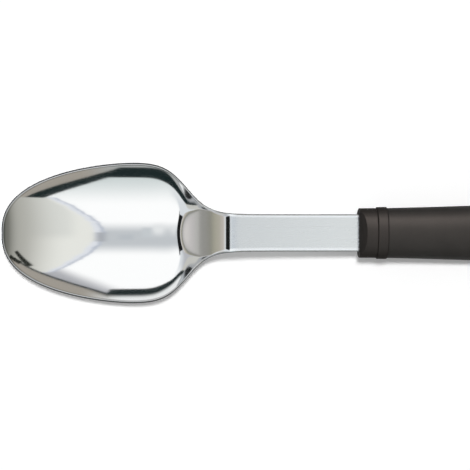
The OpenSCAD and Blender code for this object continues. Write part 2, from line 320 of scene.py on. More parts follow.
def swell(u):
    """Eases from 0 to 1 as u does."""
    return (1 - np.cos(np.pi * np.clip(u, 0, 1))) / 2


def handle_half(h, x):
    """Half width and half height of the handle at x from its front face."""
    mid, tail_x = h.belly_x / 2, h.length - h.tail_l
    u = np.clip((x - tail_x) / h.tail_l, 0, 1)
    end = (1 - u**BUTT_POWER) ** (1 / BUTT_POWER)
    wide = h.front_w + (h.belly_w - h.front_w) * swell(x / h.belly_x)
    rise = h.front_h + (h.belly_h - h.front_h) * swell(x / mid)
    drop = h.belly_h + (h.tail_h - h.belly_h) * swell((x - mid) / (tail_x - mid))
    return wide * end / 2, np.where(x < mid, rise, drop) * end / 2


def axis_height(h):
    """Height of the handle's axis at its front face, with the butt on the ground."""
    x = np.linspace(0, h.length, 2000)
    return float((x * math.sin(h.droop) + handle_half(h, x)[1] * math.cos(h.droop)).max())


def handle_place(h):
    """Turns a shape drawn along the handle's own axis into the spoon's frame."""
    move = Matrix.Translation((TIP_X + h.front_x, 0, axis_height(h)))
    return move @ Matrix.Rotation(h.droop, 4, "Y")


# How far wear rounds the rim's inner corner, as a share of the bowl's depth
RIM_WEAR = 0.004
# Rounded edge from the top face round to the under face: inset and drop in
# millimetres, first on the bowl's ground rim and then on the shank
EDGE = [
    ((0.75, 0.00), (2.10, 0.00)), ((0.70, 0.01), (1.50, 0.07)), ((0.66, 0.04), (1.00, 0.21)),
    ((0.40, 0.34), (0.50, 0.42)), ((0.18, 0.60), (0.22, 0.66)), ((0.06, 0.76), (0.06, 0.95)),
    ((0.05, 0.82), (0.00, 1.50)), ((0.16, 0.88), (0.10, 2.15)), ((0.90, 0.90), (0.45, 2.50)),
]


class BladeForm:
    """Outline, edge line and faces of the blade, s being the distance from the tip."""

    def __init__(self, b, h):
        self.b, self.half_w, self.shank_half_w = b, b.bowl_w / 2, b.shank_w / 2
        # How far in the rounding of the shank's edges reaches
        self.rounding = 2.5 * b.edge_break
        self.neck, self.slope = math.tan(b.neck_angle), math.tan(h.droop)
        s = np.linspace(0, b.shoulder_x - b.shoulder_r, 2000)
        outside = self.bowl(s, (self.half(s, 0) / self.half_w) ** 2, b.depth + b.sheet_t)
        self.rim_z = float(outside.max())
        top = axis_height(h) + b.shank_t / 2 + (h.front_x - b.shank_x) * self.slope
        self.neck_x = b.shank_x - (top - self.rim_z) / self.neck

    def half(self, s, inset):
        """Half width of the outline drawn in by an inset, below 0 in front of its tip."""
        b = self.b
        q = 1 - ((b.nose_l - s) / (b.nose_l - inset)) ** 2
        oval = (self.half_w - inset) * np.sign(q) * np.abs(q) ** (1 / b.nose_power)
        oval = np.where(s > b.nose_l, np.maximum(oval, 0), oval)
        shank = self.shank_half_w - np.minimum(inset, self.rounding)
        return shank + (oval - shank) * fall(s - b.shoulder_x, b.shoulder_r)

    def thin(self, s):
        """Share of the thin bowl sheet, as against the thick shank."""
        return fall(s - self.b.thick_x, self.b.thick_r)

    def edge(self, s):
        """Height of the edge line: the rim, the neck and the sloping shank."""
        b = self.b
        return (self.rim_z + self.neck * corner(s - self.neck_x, b.neck_r)
                - (self.neck + self.slope) * corner(s - b.shank_x, b.bend_r))

    def edge_slope(self, s):
        """How fast the edge line rises."""
        b = self.b
        return (self.neck * fall(self.neck_x - s, b.neck_r)
                - (self.neck + self.slope) * fall(b.shank_x - s, b.bend_r))

    def bowl(self, s, u, depth):
        """Depth of the dish, u being 0 at the edge and 1 at the bottom."""
        b = self.b
        return depth * (1 + b.heel_share * fall(b.heel_x - s, b.heel_r)) * u

    def strap(self, s):
        """Depth of the flat neck below the edge, carried on under the bowl."""
        return self.neck * (corner(s - self.neck_x, self.b.neck_r) - (s - self.neck_x))

    def lesser(self, one, two):
        """The lesser of two depths, rounded where they cross."""
        low, high = np.minimum(one, two), np.maximum(one, two)
        power = self.b.crease_power
        low = np.maximum(low, 0)
        return low * (1 + (low / np.maximum(high, 1e-9)) ** power) ** (-1 / power)

    def top(self, s, y):
        """Inner face, with the flat rim and its worn inner corner."""
        b = self.b
        h, wide = self.half(s, b.rim_w), self.half_w - b.rim_w
        u = corner((h * np.abs(h) - y * y) / wide**2, RIM_WEAR)
        return self.edge(s) - self.lesser(self.bowl(s, u, b.depth), self.strap(s))

    def under(self, s, y):
        """Outer face, a sheet's thickness under the inner one."""
        b = self.b
        u = np.maximum(0, (self.half(s, 0) ** 2 - y * y) / self.half_w**2)
        strap = self.strap(s) + b.sheet_t * self.thin(s) / math.cos(b.neck_angle)
        deep = self.lesser(self.bowl(s, u, b.depth + b.sheet_t), strap)
        thick = b.shank_t * (1 - self.thin(s)) * np.hypot(1, self.edge_slope(s))
        return self.edge(s) - deep - thick


def blade_rings(form, end_s):
    """Closed sections of the blade from its tip to its end inside the collar."""
    # Sections crowd towards the tip, and points towards the edges, where it curves most
    b, front, middle, straight, across = form.b, 90, 150, 24, 112
    turn = [math.pi / 2 * (i / front) ** 1.5 for i in range(1, front + 1)]
    nose = [b.nose_l - b.nose_l * math.cos(t) for t in turn]
    bend_end = b.shank_x + 7 * b.bend_r
    rear = [*np.linspace(b.nose_l, bend_end, middle)[1:], *np.linspace(bend_end, end_s, straight)[1:]]
    v = np.sin(np.pi / 2 * np.linspace(-1, 1, across))
    rings = []
    for s0 in nose + rear:
        w = float(form.thin(s0))
        edge = []
        for (i0, d0), (i1, d1) in EDGE:
            inset = (w * i0 + (1 - w) * i1) * MM
            s = b.nose_l - (b.nose_l - s0) * (1 - inset / b.nose_l) if s0 < b.nose_l else s0
            further = (1 - w) * max(0, inset - form.rounding)
            drop = (w * d0 + (1 - w) * d1) * MM
            edge.append((s, max(1e-6, float(form.half(s, inset)) - further), drop))
        s, h, _ = edge[0]
        upper = [(s, y, float(z)) for y, z in zip(v * h, form.top(s, v * h))]
        right = [(s, h, float(form.edge(s)) - d) for s, h, d in edge[1:-1]]
        s, h, _ = edge[-1]
        lower = [(s, y, float(z)) for y, z in zip(-v * h, form.under(s, v * h))]
        left = [(s, -h, z) for s, h, z in right[::-1]]
        rings.append(upper + right + lower + left)
    rings = np.array(rings)
    rings[:, :, 0] += TIP_X
    return rings


def oval_shell(h):
    """Geometry Nodes tree for a closed moulded length of the handle, whose oval
    section, belly and rounded butt follow the handle's sizes."""
    tree = bpy.data.node_groups.new("oval_shell", "GeometryNodeTree")
    sizes = {
        "Start": 0, "End": 20 * MM, "Proud": 0, "Edge radius": 0.4 * MM, "Front width": h.front_w,
        "Belly width": h.belly_w, "Belly place": h.belly_x, "Front height": h.front_h,
        "Belly height": h.belly_h, "Tail height": h.tail_h, "Tail": h.tail_l, "Length": h.length,
        "Section power": SECTION_POWER, "Tail power": BUTT_POWER,
    }
    tree.interface.new_socket("Geometry", in_out="OUTPUT", socket_type="NodeSocketGeometry")
    for name, value in sizes.items():
        made = tree.interface.new_socket(name, in_out="INPUT", socket_type="NodeSocketFloat")
        made.default_value = value
    for name, value in (("Sides", h.sides), ("Rings", 60)):
        made = tree.interface.new_socket(name, in_out="INPUT", socket_type="NodeSocketInt")
        made.default_value = value
    tree.interface.new_socket("Material", in_out="INPUT", socket_type="NodeSocketMaterial")
    got = add(tree, "NodeGroupInput").outputs
    tube = add(tree, "GeometryNodeMeshCylinder",
               {"Vertices": got["Sides"], "Side Segments": got["Rings"], "Radius": 1, "Depth": 1},
               fill_type="NONE")
    where = add(tree, SPLIT, {0: add(tree, "GeometryNodeInputPosition")})
    # Along the tube: end face, rounded edge, length, rounded edge, end face
    stops = (-0.5, -0.42, -0.32, 0.32, 0.42, 0.5)
    face, curl, run, curl_end, face_end = (
        add(tree, SPAN, {"Value": where.outputs[2], "From Min": low, "From Max": high,
                         "To Min": 0, "To Max": 1 if i in (0, 2, 4) else math.pi / 2})
        for i, (low, high) in enumerate(zip(stops, stops[1:]))
    )
    start_in = add(tree, MATH, {0: 1, 1: add(tree, MATH, {0: curl}, operation="COSINE")},
                   operation="SUBTRACT")
    start_out = add(tree, MATH, {0: 1, 1: add(tree, MATH, {0: curl}, operation="SINE")},
                    operation="SUBTRACT")
    end_in = add(tree, MATH, {0: curl_end}, operation="SINE")
    end_out = add(tree, MATH, {0: 1, 1: add(tree, MATH, {0: curl_end}, operation="COSINE")},
                  operation="SUBTRACT")
    whole = add(tree, MATH, {0: got["End"], 1: got["Start"]}, operation="SUBTRACT")
    flat = add(tree, MATH, {0: got["Edge radius"], 1: -2, 2: whole}, operation="MULTIPLY_ADD")
    curls = add(tree, MATH, {0: start_in, 1: end_in}, operation="ADD")
    begin = add(tree, MATH, {0: curls, 1: got["Edge radius"], 2: got["Start"]},
                operation="MULTIPLY_ADD")
    x = add(tree, MATH, {0: flat, 1: run, 2: begin}, operation="MULTIPLY_ADD")
    drops = add(tree, MATH, {0: start_out, 1: end_out}, operation="ADD")
    lift = add(tree, MATH, {0: drops, 1: got["Edge radius"]}, operation="MULTIPLY")
    lift = add(tree, MATH, {0: got["Proud"], 1: lift}, operation="SUBTRACT")
    fill = add(tree, MATH, {0: face, 1: face_end}, operation="SUBTRACT")

    # Width and height at x, with the rounded butt
    tail_x = add(tree, MATH, {0: got["Length"], 1: got["Tail"]}, operation="SUBTRACT")
    u = add(tree, SPAN, {"Value": x, "From Min": tail_x, "From Max": got["Length"]})
    u = add(tree, MATH, {0: u, 1: got["Tail power"]}, operation="POWER")
    u = add(tree, MATH, {0: 1, 1: u}, operation="SUBTRACT")
    root = add(tree, MATH, {0: 1, 1: got["Tail power"]}, operation="DIVIDE")
    butt = add(tree, MATH, {0: u, 1: root}, operation="POWER")
    wide = add(tree, SPAN, {"Value": x, "From Min": 0, "From Max": got["Belly place"],
                            "To Min": got["Front width"], "To Max": got["Belly width"]},
               interpolation_type="SMOOTHSTEP")
    middle = add(tree, MATH, {0: got["Belly place"], 1: 0.5}, operation="MULTIPLY")
    rise = add(tree, SPAN, {"Value": x, "From Min": 0, "From Max": middle,
                            "To Min": got["Front height"], "To Max": got["Belly height"]},
               interpolation_type="SMOOTHSTEP")
    fade = add(tree, MATH, {0: got["Tail height"], 1: got["Belly height"]}, operation="SUBTRACT")
    fade = add(tree, SPAN, {"Value": x, "From Min": middle, "From Max": tail_x,
                            "To Min": 0, "To Max": fade}, interpolation_type="SMOOTHSTEP")
    high = add(tree, MATH, {0: rise, 1: fade}, operation="ADD")
    power = add(tree, MATH, {0: 2, 1: got["Section power"]}, operation="DIVIDE")
    sides = []
    for size, place in ((wide, where.outputs[0]), (high, where.outputs[1])):
        r = add(tree, MATH, {0: size, 1: butt}, operation="MULTIPLY")
        r = add(tree, MATH, {0: r, 1: 0.5, 2: lift}, operation="MULTIPLY_ADD")
        r = add(tree, MATH, {0: r, 1: 0}, operation="MAXIMUM")
        r = add(tree, MATH, {0: r, 1: fill}, operation="MULTIPLY")
        bulge = add(tree, MATH, {0: place}, operation="ABSOLUTE")
        bulge = add(tree, MATH, {0: bulge, 1: power}, operation="POWER")
        way = add(tree, MATH, {0: place}, operation="SIGN")
        bulge = add(tree, MATH, {0: bulge, 1: way}, operation="MULTIPLY")
        sides.append(add(tree, MATH, {0: r, 1: bulge}, operation="MULTIPLY"))
    place = add(tree, "ShaderNodeCombineXYZ", {0: x, 1: sides[0], 2: sides[1]})
    shell = add(tree, "GeometryNodeSetPosition", {"Geometry": tube, "Position": place})
    shell = add(tree, "GeometryNodeMergeByDistance", {"Geometry": shell, "Distance": 2e-6})
    shell = add(tree, "GeometryNodeRealizeInstances", {"Geometry": shell})
    shell = add(tree, "GeometryNodeSetMaterial", {"Geometry": shell, "Material": got["Material"]})
    add(tree, "NodeGroupOutput", {0: shell})
    return tree


def moulding(name, h, start, end, material, rings, proud=0.0):
    """One length of the handle's outside, made by the oval_shell tree."""
    tree = bpy.data.node_groups.get("oval_shell") or oval_shell(h)
    thing = bpy.data.objects.new(name, bpy.data.meshes.new(name))
    bpy.context.scene.collection.objects.link(thing)
    step = thing.modifiers.new("shell", "NODES")
    step.node_group = tree
    given = {"Start": start, "End": end, "Proud": proud, "Rings": rings, "Material": material}
    for socket in tree.interface.items_tree:
        if socket.name in given:
            step[socket.identifier] = given[socket.name]
    thing.data.update()
    bake(thing)
    outward(thing.data)
    return thing


# Finishes


def polished_steel(b, rim_z):
    """18/10 stainless steel, stamped and buffed: a cool mirror in the bowl, with
    hair-fine buffing lines, that turns into a lengthwise satin grain on the shank."""
    material, tree = blank("polished_stainless_steel")
    where = add(tree, COORD).outputs["Object"]
    x, _, rise = add(tree, SPLIT, {0: where}).outputs
    bend = TIP_X + b.shank_x
    satin = add(tree, SPAN, {"Value": x, "From Min": bend - 1.5 * MM, "From Max": bend + 1.5 * MM},
                interpolation_type="SMOOTHSTEP")
    # Satin grain: streaks some 60 mm long, and from 0.8 mm down to the real 0.05 mm apart
    grain_at = add(tree, "ShaderNodeMapping",
                   {"Vector": where, "Scale": (1 / (60 * MM), 1 / (0.8 * MM), 1 / (4 * MM))})
    grain = add(tree, NOISE, {"Vector": grain_at, "Scale": 1, "Detail": 4, "Roughness": 0.6})
    # Buffing lines: faint, up to 0.6 mm apart, nearly along the bowl
    buff_at = add(tree, "ShaderNodeMapping",
                  {"Vector": where, "Scale": (1 / (9 * MM), 1 / (0.6 * MM), 1 / (0.6 * MM)),
                   "Rotation": (0, 0, 0.12)})
    buff = add(tree, NOISE, {"Vector": buff_at, "Scale": 1, "Detail": 3, "Roughness": 0.6})
    # Slow waves, 22 mm long, that the press leaves in the sheet
    wave = add(tree, NOISE, {"Vector": where, "Scale": 1 / (22 * MM), "Detail": 1})
    rough = add(tree, SPAN, {"Value": satin, "To Min": b.polish, "To Max": b.satin})
    streak = add(tree, SPAN, {"Value": grain, "From Min": 0.3, "From Max": 0.7,
                              "To Min": -0.04, "To Max": 0.04})
    streak = add(tree, MATH, {0: streak, 1: satin, 2: rough}, operation="MULTIPLY_ADD")
    smear = add(tree, SPAN, {"Value": buff, "From Min": 0.35, "From Max": 0.75, "To Max": 0.03})
    rough = add(tree, MATH, {0: streak, 1: smear}, operation="ADD")
    lines = add(tree, MATH, {0: satin, 1: 0.45}, operation="MULTIPLY")
    lines = add(tree, MATH, {0: grain, 1: lines}, operation="MULTIPLY")
    lines = add(tree, MATH, {0: buff, 1: 0.12, 2: lines}, operation="MULTIPLY_ADD")
    fine = add(tree, "ShaderNodeBump", {"Height": lines, "Strength": 0.25, "Distance": 0.004 * MM})
    slow = add(tree, "ShaderNodeBump",
               {"Height": wave, "Strength": 0.4, "Distance": 0.05 * MM, "Normal": fine})
    # Painted shade and light: the shank's colour is darker near the neck and lighter further along
    dull = add(tree, SPAN, {"Value": x, "From Min": bend, "From Max": bend + 50 * MM,
                            "To Min": 0.96, "To Max": 1.05})
    dull = add(tree, SPAN, {"Value": satin, "To Min": 1, "To Max": dull})
    tint = add(tree, MIX, {"Factor": satin, 6: b.steel, 7: linear("#EEF2F5")}, data_type="RGBA")
    tint = add(tree, "ShaderNodeHueSaturation", {"Value": dull, "Color": tint.outputs[2]})
    # The bowl's rim is ground, and its colour is painted darker than the buffed faces, as painted shade
    ground = add(tree, SPAN, {"Value": rise, "From Min": rim_z - 0.5 * MM, "From Max": rim_z - 0.2 * MM})
    ground = add(tree, SPAN, {"Value": x, "From Min": bend - 26 * MM, "From Max": bend - 18 * MM,
                              "To Min": ground, "To Max": 0})
    shade = add(tree, SPAN, {"Value": ground, "To Min": 1, "To Max": 0.62})
    tint = add(tree, "ShaderNodeHueSaturation", {"Value": shade, "Color": tint})
    return shaded(material, {"Base Color": tint, "Metallic": 1, "Roughness": rough, "Normal": slow})


def plain_steel():
    """Headed mild-steel rivets: grey, dull, faintly mottled from the press."""
    material, tree = blank("rivet_steel")
    where = add(tree, COORD).outputs["Object"]
    # The mottle of a headed rivet is about 1.5 mm wide
    mottle = add(tree, NOISE, {"Vector": where, "Scale": 1 / (1.5 * MM), "Detail": 3})
    rough = add(tree, SPAN, {"Value": mottle, "To Min": 0.3, "To Max": 0.5})
    return shaded(material, {"Base Color": linear("#B9B9B6"), "Metallic": 1, "Roughness": rough})


def moulded(name, colour, roughness, grain_mm, relief, sheen=0.0):
    """A moulded plastic: a fine spark-eroded grain breaks up the gloss, and the
    colour drifts a little over 9 mm, as pigment does in thick walls."""
    material, tree = blank(name)
    where = add(tree, COORD).outputs["Object"]
    grain = add(tree, NOISE, {"Vector": where, "Scale": 1 / (grain_mm * MM), "Detail": 3, "Roughness": 0.6})
    drift = add(tree, NOISE, {"Vector": where, "Scale": 1 / (9 * MM), "Detail": 2})
    tone = add(tree, SPAN, {"Value": drift, "From Min": 0.3, "From Max": 0.7,
                            "To Min": 0.92, "To Max": 1.08})
    colour = add(tree, "ShaderNodeHueSaturation", {"Value": tone, "Color": colour})
    rough = add(tree, SPAN, {"Value": grain, "From Min": 0.3, "From Max": 0.7,
                             "To Min": roughness - 0.05, "To Max": roughness + 0.05})
    bump = add(tree, "ShaderNodeBump", {"Height": grain, "Strength": 0.5, "Distance": relief * MM})
    # Grazing light is lost in the matte grain
    facing = add(tree, "ShaderNodeLayerWeight", {"Blend": 0.5}).outputs["Facing"]
    level = add(tree, SPAN, {"Value": facing, "From Min": 0.1, "From Max": 0.45,
                             "To Min": 0.5, "To Max": 0.08})
    return shaded(material, {"Base Color": colour, "Roughness": rough, "Normal": bump, "IOR": 1.35,
                             "Specular IOR Level": level, "Sheen Weight": sheen, "Sheen Roughness": 0.5})


# Operators


class SPOON_OT_blade(bpy.types.Operator):
    """Builds the polished steel bowl, neck, shank and tang"""

    bl_idname = "spoon.blade"
    bl_label = "Blade"

    def execute(self, context):
        b, h = context.scene.spoon_blade, context.scene.spoon_handle
        form = BladeForm(b, h)
        sheet = skin("blade_sheet", blade_rings(form, h.front_x + h.shank_seat * math.cos(h.droop)))
        r, z = b.tang_w / 2, b.tang_t / 2
        turn = np.linspace(-np.pi / 2, np.pi / 2, 33)
        outline = [(0, r), (0, -r)] + [(b.tang_l - r + math.cos(t) * r, math.sin(t) * r) for t in turn]
        tang = skin("tang", [[(x, y, level) for x, y in outline] for level in (-z, z)])
        hole = b.rivet_d / 2 + h.gap
        carve(tang, [
            round_bar(f"rivet_hole_{i}", [(-2 * z, hole), (2 * z, hole)], "Z",
                      (b.tang_l - b.rivet_inset - b.rivet_pitch * i, 0, 0), 48)
            for i in range(b.rivet_count)
        ])
        tang.data.transform(handle_place(h))
        blade = carve(sheet, [tang], "UNION")
        blade.name = "steel_blade"
        finish(blade, "spoon_blade", polished_steel(b, form.rim_z), 50)
        return {"FINISHED"}


class SPOON_OT_handle(bpy.types.Operator):
    """Builds the collar, band, soft sleeve and end cap"""

    bl_idname = "spoon.handle"
    bl_label = "Handle"

    def execute(self, context):
        b, h = context.scene.spoon_blade, context.scene.spoon_handle
        bore, overrun = h.core_d / 2 + h.gap, h.collar_wall
        hard = moulded("moulded_nylon", h.hard, 0.6, 0.25, 0.012)
        soft = moulded("soft_touch_rubber", h.soft, 0.6, 0.3, 0.02, 0.05)
        band_x = h.collar_l + h.gap
        sleeve_x = band_x + h.band_l + h.gap
        cap_x = h.length - h.cap_l

        collar = moulding("collar", h, 0, h.collar_l, hard, rings=40)
        wedge = block("wedge", (-h.front_h, -h.front_w, -h.front_h), (0, h.front_w, 2 * h.front_h))
        lean = Matrix.Rotation(math.atan2(h.bevel_l, h.bevel_h), 4, "Y")
        wedge.data.transform(Matrix.Translation((0, 0, h.front_h / 2 - h.bevel_h)) @ lean)
        seat_y, seat_z = b.shank_w / 2 + h.fit, b.shank_t / 2 + h.fit
        slot_y, slot_z = b.tang_w / 2 + h.fit, b.tang_t / 2 + h.fit
        carve(collar, [
            round_bar("bore", [(h.collar_wall, bore), (h.collar_l + overrun, bore)]),
            block("shank_seat", (-overrun, -seat_y, -seat_z), (h.shank_seat + h.fit, seat_y, seat_z)),
            block("tang_slot", (-overrun, -slot_y, -slot_z), (h.collar_l, slot_y, slot_z)),
            wedge,
        ])
        band = moulding("band", h, band_x, band_x + h.band_l, hard, rings=40, proud=h.band_proud)
        carve(band, [round_bar("bore", [(0, bore), (h.length, bore)])])
        sleeve = moulding("sleeve", h, sleeve_x, cap_x, soft, rings=150)
        carve(sleeve, [round_bar("bore", [(0, bore), (h.length, bore)])])
        cap = moulding("cap", h, cap_x + h.gap, h.length, hard, rings=110)
        # Half of the hanging hole, with a rounded lip at the hole and at the recess
        r, rim, z, lip = h.hole_d / 2, h.recess_d / 2, h.recess_t / 2, 2 * h.band_proud / 3
        half = [(0.0, r), (z - lip, r), (z - 0.3 * lip, r + 0.3 * lip), (z, r + lip), (z, rim - lip),
                (z + 0.3 * lip, rim - 0.3 * lip), (z + lip, rim), (h.belly_h, rim + lip)]
        profile = [(-level, wide) for level, wide in half[:0:-1]] + half
        carve(cap, [
            round_bar("socket", [(0, bore), (cap_x + h.gap + h.socket_l, bore)]),
            round_bar("hanging_hole", profile, "Z", (h.length - h.hole_inset, 0, 0)),
        ])
        for piece, node, slot, material in (
            (collar, "front_collar", "collar_plastic", hard),
            (band, "collar_band", "collar_plastic", hard),
            (sleeve, "grip_sleeve", "soft_grip", soft),
            (cap, "end_cap", "cap_plastic", hard),
        ):
            piece.data.transform(handle_place(h))
            finish(piece, node, material)
            glossed().objects.link(piece)
        return {"FINISHED"}


class SPOON_OT_inside(bpy.types.Operator):
    """Gives the core halves and the rivets their materials"""

    bl_idname = "spoon.inside"
    bl_label = "Core and rivets"

    def execute(self, context):
        core = moulded("core_nylon", linear("#BDB8AB"), 0.4, 0.4, 0.01)
        for node, material in (("core_upper", core), ("core_lower", core), ("tang_rivets", plain_steel())):
            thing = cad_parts[node]
            thing.data.materials.clear()
            thing.data.materials.append(material)
        return {"FINISHED"}


class SPOON_OT_stage(bpy.types.Operator):
    """Sets up the white floor, the lamps, the studio's reflections and the camera"""

    bl_idname = "spoon.stage"
    bl_label = "Studio"

    def execute(self, context):
        st = context.scene.spoon_studio
        self.floor(st)
        self.lamps(st)
        self.surroundings(st)
        self.card()
        self.camera(st)
        context.scene.view_settings.view_transform = "Standard"
        return {"FINISHED"}

    def floor(self, st):
        """The white table, which keeps the spoon's shadow."""
        wide, thick = 3, 10 * MM
        floor = block("floor", (-wide, -wide, -thick), (wide, wide, 0))
        material, tree = blank("white_floor")
        ray = add(tree, "ShaderNodeLightPath").outputs
        seen = add(tree, MATH, {0: ray["Is Camera Ray"], 1: ray["Is Glossy Ray"]}, operation="MAXIMUM")
        glow = add(tree, MATH, {0: seen, 1: st.glow}, operation="MULTIPLY")
        lit = add(tree, "ShaderNodeBsdfDiffuse", {"Color": linear("#F9F9F9")})
        own = add(tree, "ShaderNodeEmission", {"Strength": glow})
        both = add(tree, "ShaderNodeAddShader", {0: lit, 1: own})
        add(tree, "ShaderNodeOutputMaterial", {"Surface": both})
        floor.data.materials.append(material)
        # The metal sees the table that the world draws
        floor.visible_glossy = False

    def lamps(self, st):
        """The key, which makes the shadow, and a lamp on the far side only for gloss.
        Each has its strength, its softness and tilt in degrees, and its colour."""
        for name, power, spread, tilt, colour, glossy in (
            ("key", st.key, 7, 8, "#FFFFFF", False), ("gloss", st.gloss, 26, 42, "#FFEDE4", True),
        ):
            lamp = bpy.data.lights.new(name, "SUN")
            lamp.energy, lamp.angle, lamp.color = power, math.radians(spread), linear(colour)[:3]
            sun = bpy.data.objects.new(name, lamp)
            sun.rotation_euler = (-math.radians(tilt), 0, 0)
            sun.visible_glossy, sun.visible_diffuse = glossy, not glossy
            if glossy:
                sun.light_linking.receiver_collection = glossed()
            bpy.context.scene.collection.objects.link(sun)

    def surroundings(self, st):
        """What polished metal sees: two white tents with a cool gap overhead, their
        black seams near the horizon, a black flag behind the spoon's bowl, and a warm
        wall beyond the handle. Drawn on a chart whose radius is the angle from straight
        up, in degrees, with the spoon's X to the right and its Y upwards."""
        world = bpy.data.worlds.new("studio")
        bpy.context.scene.world = world
        world.use_nodes = True
        tree = world.node_tree
        tree.nodes.clear()
        way = add(tree, COORD).outputs["Generated"]
        rise = add(tree, SPLIT, {0: way}).outputs[2]
        theta = add(tree, MATH, {0: rise}, operation="ARCCOSINE")
        theta = add(tree, MATH, {0: theta, 1: 180 / math.pi}, operation="MULTIPLY")
        level = add(tree, VECTOR, {0: way, 1: (1, 1, 0)}, operation="MULTIPLY")
        level = add(tree, VECTOR, {0: level}, operation="NORMALIZE")
        chart = add(tree, VECTOR, {0: level, "Scale": theta}, operation="SCALE")
        x, y, _ = add(tree, SPLIT, {0: chart}).outputs
        down = add(tree, MATH, {0: y, 1: -1}, operation="MULTIPLY")
        layers = [
            *self.tents(tree, chart, theta, down), *self.seams(tree, x, y, down), *self.marks(tree, chart),
            # Below the horizon: the dark edge of the table, then its white top
            ([(theta, 86, 88)], "#ABADB0"), ([(theta, 85.5, 87), (x, -45, -30)], "#424444"),
            ([(theta, 92, 100)], "#4A4C4C"), ([(theta, 128, 150)], "#ECECEA"),
        ]
        tent, white, sky = (1.1, 1.1, 1.1, 1), (1, 1, 1, 1), (st.sky, st.sky, st.sky, 1)
        colour = painted(tree, tent, layers)
        ray = add(tree, "ShaderNodeLightPath").outputs
        even = add(tree, MIX, {"Factor": ray["Is Glossy Ray"], 6: sky, 7: colour}, data_type="RGBA")
        shown = add(tree, MIX, {"Factor": ray["Is Camera Ray"], 6: even.outputs[2], 7: white},
                    data_type="RGBA")
        light = add(tree, "ShaderNodeBackground", {"Color": shown.outputs[2]})
        add(tree, "ShaderNodeOutputWorld", {"Surface": light})

    def tents(self, tree, chart, theta, down):
        """The tents' shades, the wall beyond the handle and the flag behind the bowl."""
        x, y, _ = add(tree, SPLIT, {0: chart}).outputs
        back = add(tree, MATH, {0: x, 1: -1}, operation="MULTIPLY")
        # Nearness to three lines along the spoon: 0 on the line, and less beside it
        lines = []
        for middle in (0, 2, 6.5):
            off = add(tree, MATH, {0: y, 1: middle}, operation="SUBTRACT")
            off = add(tree, MATH, {0: off}, operation="ABSOLUTE")
            lines.append(add(tree, MATH, {0: off, 1: -1}, operation="MULTIPLY"))
        inward, near, overhead = lines
        # The wall has a bowed border that is a little uneven
        square = add(tree, MATH, {0: near, 1: near}, operation="MULTIPLY")
        bow = add(tree, MATH, {0: square, 1: 0.0057, 2: 8.9}, operation="MULTIPLY_ADD")
        uneven = add(tree, NOISE, {"Vector": chart, "Scale": 0.19, "Detail": 1})
        uneven = add(tree, MATH, {0: uneven, 1: 2, 2: -1}, operation="MULTIPLY_ADD")
        wall = add(tree, MATH, {0: x, 1: bow}, operation="SUBTRACT")
        wall = add(tree, MATH, {0: wall, 1: uneven}, operation="ADD")
        beside = (near, -46, -43.5)
        arch = add(tree, MATH, {0: y, 1: y}, operation="MULTIPLY")
        arch = add(tree, MATH, {0: arch, 1: 0.05, 2: back}, operation="MULTIPLY_ADD")
        slant = add(tree, MATH, {0: x, 1: 1.5, 2: y}, operation="MULTIPLY_ADD")
        late = add(tree, MATH, {0: y, 1: -0.05, 2: back}, operation="MULTIPLY_ADD")
        return [
            # Tent on the near side, cooler towards its foot
            ([(down, 33, 67)], "#D5DDDD"),
            # Gap overhead
            ([(overhead, -23, -6)], "#C9CDD1"),
            # Foot of the far tent, in its own shade
            ([(slant, 66, 78)], "#B6B7BC"),
            # Wall beyond the handle: pale border, then warmer and darker outwards
            ([(wall, -0.7, 0), beside], "#BFC5D2"),
            ([(wall, 0.2, 0.9), beside], "#E9ECF3"),
            ([(wall, 1.6, 2.6), beside], "#F0F0EA"),
            ([(wall, 2, 4), (x, 14, 19), beside, (down, -12, 2)], "#E2E3DE"),
            ([(x, 17, 36), beside], "#B6B5AE"),
            ([(x, 34, 52), beside], "#76766F"),
            ([(x, 52, 66), beside], "#5E605A"),
            # Black flag behind the bowl, and the pale room beyond it
            ([(back, 39, 42), (inward, -34, -28)], "#1C1E1E"),
            ([(arch, 74, 77), (late, 40.5, 47.5), (inward, -60, -42)], "#E1E5E9"),
            ([(arch, 74, 77), (back, 49, 70), (y, 2, 16)], "#BDBEC3"),
            ([(theta, 79, 82), (back, 45, 52)], "#CBCAC5"),
        ]

    def seams(self, tree, x, y, down):
        """Black seams at the tents' feet: where each starts and ends, as a level, a bow
        behind the spoon, a slanted end in front, and a soft edge."""
        behind = add(tree, MATH, {0: x, 1: 0}, operation="MINIMUM")
        behind = add(tree, MATH, {0: behind, 1: behind}, operation="MULTIPLY")
        bent = add(tree, MATH, {0: behind, 1: behind}, operation="MULTIPLY")
        front = add(tree, MATH, {0: x, 1: 5.5}, operation="SUBTRACT")
        front = add(tree, MATH, {0: front, 1: 0}, operation="MAXIMUM")
        black, warm, layers = "#1E292A", "#A6A097", []
        for out, stop, lift, beyond, *seams in (
            (down, 43, 0, "#B0B3B2",
             (63.5, -0.0045, 6e-8, 70.7, -1.2, 0.6), (72.3, -0.0038, -6e-8, 75.1, -1.04, 0.6)),
            (y, 30, 8, "#F2F4F4",
             (64, -0.0062, 8e-7, 74.4, -1.145, 0.6), (68.9, -0.0066, 8e-7, 76, -1.145, 3.2)),
        ):
            for (flat, bend, curl, reach, lean, fade), paint in zip(seams, (black, beyond)):
                line = add(tree, MATH, {0: behind, 1: bend, 2: flat}, operation="MULTIPLY_ADD")
                line = add(tree, MATH, {0: bent, 1: curl, 2: line}, operation="MULTIPLY_ADD")
                line = add(tree, MATH, {0: front, 1: lift, 2: line}, operation="MULTIPLY_ADD")
                end = add(tree, MATH, {0: x, 1: lean, 2: reach}, operation="MULTIPLY_ADD")
                line = add(tree, MATH, {0: line, 1: end}, operation="MINIMUM")
                past = add(tree, MATH, {0: out, 1: line}, operation="SUBTRACT")
                layers.append(([(past, -0.4, fade), (out, stop - 1, stop)], paint))
